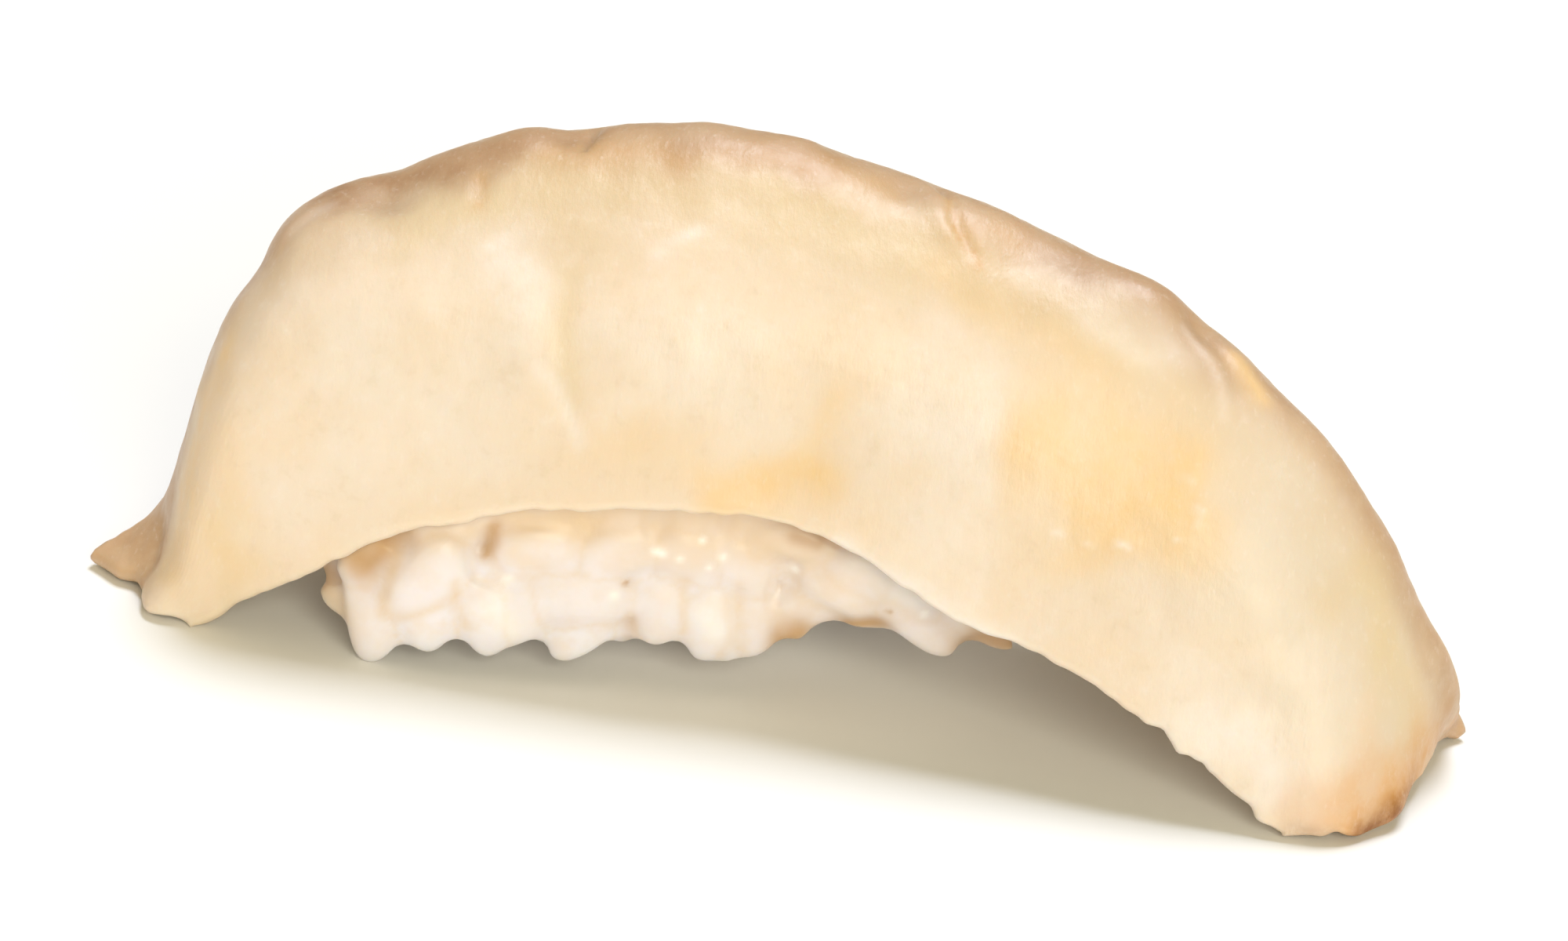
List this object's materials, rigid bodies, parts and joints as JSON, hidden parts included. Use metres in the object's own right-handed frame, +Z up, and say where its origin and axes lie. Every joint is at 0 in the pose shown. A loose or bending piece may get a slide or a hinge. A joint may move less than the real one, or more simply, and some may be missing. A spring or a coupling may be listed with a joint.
{
  "type": "conch nigiri sushi",
  "caption": "Curved slice of sea-snail meat draped over a hand-pressed oblong of cooked rice, lying on its flat underside.",
  "frame": {"origin": "on the surface that the piece lies on, under the middle of its bounding box", "axes": "+X along the piece to the end that tapers to the brown tip, +Y away from the side with the lifted edge, +Z up"},
  "size_m": [0.084, 0.0326, 0.0315],
  "materials": {
    "conch_meat": "moist, slightly translucent",
    "cooked_rice": "moist grains"
  },
  "bodies": {
    "root": {"conch_slice": "conch_meat", "rice_block": "cooked_rice"}
  },
  "joints": []
}
